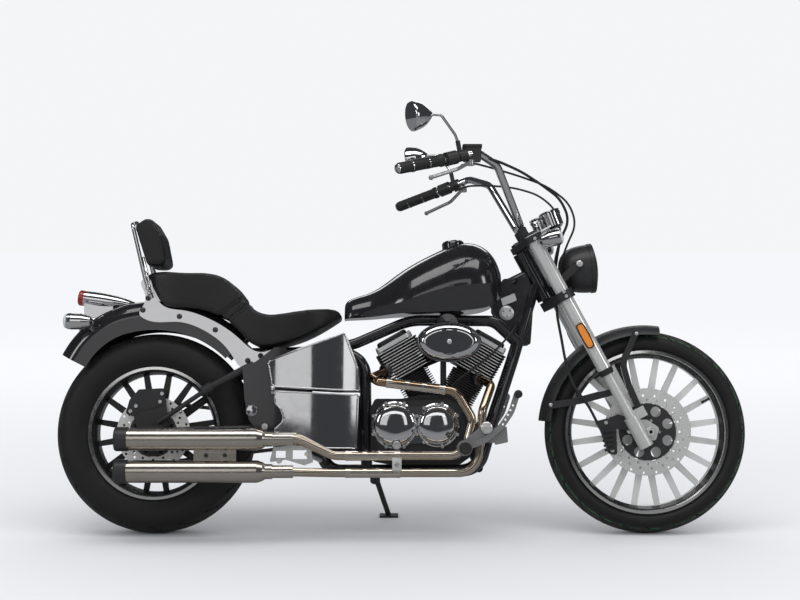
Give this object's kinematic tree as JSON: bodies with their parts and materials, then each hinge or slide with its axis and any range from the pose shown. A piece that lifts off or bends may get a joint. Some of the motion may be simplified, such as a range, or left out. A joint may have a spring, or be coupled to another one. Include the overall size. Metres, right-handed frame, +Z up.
{
  "type": "cruiser motorcycle",
  "caption": "Chopper-style V-twin cruiser motorcycle with raked fork, raised bars, stepped seat with backrest, twin side exhausts, parked on its side stand.",
  "frame": {"origin": "centre of the bounding box at ground level, the machine parked on its side stand", "axes": "+X forward, +Y to the rider's left, +Z up; the machine leans 8 degrees to +Y"},
  "size_m": [2.2772, 0.8584, 1.4018],
  "materials": {
    "rear_tyre": "black rubber",
    "rear_rim": "black with machined lip",
    "front_tyre": "black rubber",
    "front_rim": "polished band, black well",
    "front_disc": "ground",
    "rear_disc": "ground",
    "drive_chain": "oiled",
    "rear_sprocket": "plain",
    "swingarm": "gloss black",
    "frame": "gloss black",
    "pivot_caps": "polished",
    "crankcase": "satin black",
    "cylinder_heads": "black with cut fin edges",
    "barrels": "satin black",
    "rocker_covers": "polished",
    "engine_covers": "polished",
    "intake": "black",
    "breather_tube": "black",
    "air_cleaner": "polished",
    "horn": "gloss black",
    "exhaust_pipes": "polished, warm tint",
    "heat_shields": "polished, warm tint",
    "mufflers": "brushed",
    "muffler_tips": "black",
    "exhaust_hanger": "cast, polished",
    "fuel_tank": "gloss black",
    "rear_fender": "gloss black",
    "fender_struts": "polished",
    "seat": "matt black",
    "sissy_bar": "polished",
    "backrest_pad": "matt black",
    "tail_lamp": "polished",
    "tail_lens": "red",
    "rear_signals": "polished",
    "side_covers": "polished",
    "foot_controls": "satin",
    "footpegs": "ribbed",
    "rear_caliper": "black",
    "key_switch": "polished",
    "fork_tubes": "satin",
    "yokes": "satin black",
    "fork_legs": "satin",
    "handlebar": "polished",
    "grips": "ribbed",
    "hand_controls": "satin black",
    "hand_levers": "polished",
    "mirrors": "polished",
    "mirror_glass": "silvered",
    "headlamp": "matt black",
    "headlamp_lens": "clear",
    "gauges": "polished",
    "front_signals": "polished",
    "front_fender": "gloss black",
    "reflectors": "amber",
    "front_caliper": "black",
    "control_cables": "black",
    "brake_hoses": "black",
    "choke_cable": "black",
    "side_stand": "satin black"
  },
  "bodies": {
    "chassis": {"drive_chain": "drive_chain", "swingarm": "swingarm", "frame": "frame", "pivot_caps": "pivot_caps", "crankcase": "crankcase", "cylinder_heads": "cylinder_heads", "barrels": "barrels", "rocker_covers": "rocker_covers", "engine_covers": "engine_covers", "intake": "intake", "breather_tube": "breather_tube", "air_cleaner": "air_cleaner", "horn": "horn", "exhaust_pipes": "exhaust_pipes", "heat_shields": "heat_shields", "mufflers": "mufflers", "muffler_tips": "muffler_tips", "exhaust_hanger": "exhaust_hanger", "fuel_tank": "fuel_tank", "rear_fender": "rear_fender", "fender_struts": "fender_struts", "seat": "seat", "sissy_bar": "sissy_bar", "backrest_pad": "backrest_pad", "tail_lamp": "tail_lamp", "tail_lens": "tail_lens", "rear_signals": "rear_signals", "side_covers": "side_covers", "foot_controls": "foot_controls", "footpegs": "footpegs", "rear_caliper": "rear_caliper", "key_switch": "key_switch", "choke_cable": "choke_cable"},
    "steering": {"yokes": "yokes", "fork_tubes": "fork_tubes", "fork_legs": "fork_legs", "handlebar": "handlebar", "grips": "grips", "hand_controls": "hand_controls", "hand_levers": "hand_levers", "mirrors": "mirrors", "mirror_glass": "mirror_glass", "headlamp": "headlamp", "headlamp_lens": "headlamp_lens", "gauges": "gauges", "front_signals": "front_signals", "front_fender": "front_fender", "front_caliper": "front_caliper", "reflectors": "reflectors", "control_cables": "control_cables", "brake_hoses": "brake_hoses"},
    "front_wheel": {"front_tyre": "front_tyre", "front_rim": "front_rim", "front_disc": "front_disc"},
    "rear_wheel": {"rear_tyre": "rear_tyre", "rear_rim": "rear_rim", "rear_disc": "rear_disc", "rear_sprocket": "rear_sprocket"},
    "stand": {"side_stand": "side_stand"}
  },
  "joints": [
    {"name": "steering_turn", "type": "hinge", "parent": "chassis", "child": "steering", "pos_m": [0.46941, -0.05976, 0.7932], "axis": [-0.471, 0.1228, 0.8735], "range_deg": [-35, 35]},
    {"name": "front_wheel_spin", "type": "hinge", "parent": "steering", "child": "front_wheel", "pos_m": [0.80659, -0.12489, 0.32975], "axis": [0, 0.9903, -0.1392], "continuous": true},
    {"name": "rear_wheel_spin", "type": "hinge", "parent": "chassis", "child": "rear_wheel", "pos_m": [-0.81059, -0.12545, 0.32579], "axis": [0, 0.9903, -0.1392], "continuous": true},
    {"name": "side_stand_swing", "type": "hinge", "parent": "chassis", "child": "stand", "pos_m": [-0.09059, -0.01251, 0.16653], "axis": [-0.0512, 0.8153, 0.5768], "range_deg": [0, 95]}
  ]
}
